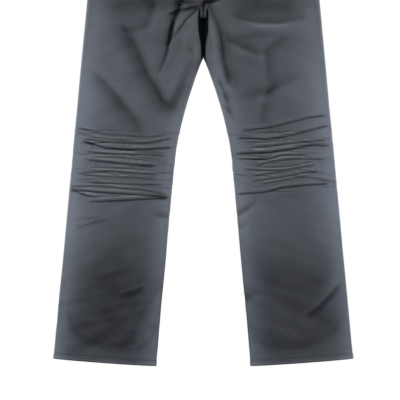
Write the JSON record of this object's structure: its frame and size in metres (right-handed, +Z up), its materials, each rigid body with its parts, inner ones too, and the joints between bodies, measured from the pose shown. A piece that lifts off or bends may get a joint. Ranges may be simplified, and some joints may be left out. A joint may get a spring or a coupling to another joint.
{
  "type": "trousers",
  "caption": "Straight-leg coated twill trousers with creased knees, stitched hems, zip fly, button waistband and pockets, hanging open from the waist.",
  "frame": {"origin": "centre of the waist opening, level with the top edge of the waistband", "axes": "+Z up towards the waist, -Y is the garment's front, +X is the wearer's left"},
  "size_m": [0.6818, 0.1145, 1.0915],
  "materials": {
    "cloth": "coated satin twill, dark slate grey",
    "lining": "matt cotton pocketing and zip tape",
    "metal": "antique brass, satin"
  },
  "bodies": {
    "hips": {"waistband": "cloth", "belt_loop_front_left": "cloth", "belt_loop_front_right": "cloth", "belt_loop_rear_left": "cloth", "belt_loop_rear_right": "cloth", "belt_loop_centre_back": "cloth", "button_tack": "metal", "fly_facing": "cloth", "fly_shield": "cloth", "zip_tape_left": "lining", "zip_tape_right": "lining", "zip_teeth_left": "metal", "zip_teeth_right": "metal", "zip_bottom_stop": "metal", "front_panel_top_left": "cloth", "front_panel_lap_left": "cloth", "back_yoke_left": "cloth", "back_panel_seat_left": "cloth", "pocket_facing_left": "cloth", "pocket_bag_left": "lining", "back_pocket_left": "cloth", "front_panel_top_right": "cloth", "front_panel_lap_right": "cloth", "back_yoke_right": "cloth", "back_panel_seat_right": "cloth", "pocket_facing_right": "cloth", "pocket_bag_right": "lining", "back_pocket_right": "cloth"},
    "button": {"button_cap": "metal"},
    "slider": {"zip_slider": "metal"},
    "pull": {"zip_pull": "metal"},
    "thigh_left": {"front_panel_thigh_left": "cloth", "back_panel_thigh_left": "cloth", "front_panel_knee_left": "cloth", "back_panel_knee_left": "cloth"},
    "shin_left": {"front_panel_shin_left": "cloth", "back_panel_shin_left": "cloth", "hem_turnup_left": "cloth"},
    "thigh_right": {"front_panel_thigh_right": "cloth", "back_panel_thigh_right": "cloth", "front_panel_knee_right": "cloth", "back_panel_knee_right": "cloth"},
    "shin_right": {"front_panel_shin_right": "cloth", "back_panel_shin_right": "cloth", "hem_turnup_right": "cloth"}
  },
  "joints": [
    {"name": "hip_swing_left", "type": "hinge", "parent": "hips", "child": "thigh_left", "pos_m": [0.12771, 0, -0.19], "axis": [-1, 0, 0], "range_deg": [-20, 90], "deforming": ["front_panel_lap_left", "back_panel_seat_left"]},
    {"name": "knee_fold_left", "type": "hinge", "parent": "thigh_left", "child": "shin_left", "pos_m": [0.18116, 0, -0.624], "axis": [0.9957, 0, 0.0928], "range_deg": [0, 120], "deforming": ["front_panel_knee_left", "back_panel_knee_left"]},
    {"name": "hip_swing_right", "type": "hinge", "parent": "hips", "child": "thigh_right", "pos_m": [-0.12771, 0, -0.19], "axis": [-1, 0, 0], "range_deg": [-20, 90], "deforming": ["front_panel_lap_right", "back_panel_seat_right"]},
    {"name": "knee_fold_right", "type": "hinge", "parent": "thigh_right", "child": "shin_right", "pos_m": [-0.18116, 0, -0.624], "axis": [0.9957, 0, -0.0928], "range_deg": [0, 120], "deforming": ["front_panel_knee_right", "back_panel_knee_right"]},
    {"name": "zip_slide", "type": "slide", "parent": "hips", "child": "slider", "axis": [0, -0.04, -0.9992], "range_m": [0, 0.118], "deforming": ["zip_teeth_left", "zip_teeth_right"]},
    {"name": "pull_swing", "type": "hinge", "parent": "slider", "child": "pull", "pos_m": [0, -0.03264, -0.0412], "axis": [-1, 0, 0], "range_deg": [0, 9]},
    {"name": "button_spin", "type": "hinge", "parent": "hips", "child": "button", "pos_m": [-0.004, -0.03956, -0.019], "axis": [0, -1, 0], "continuous": true}
  ]
}
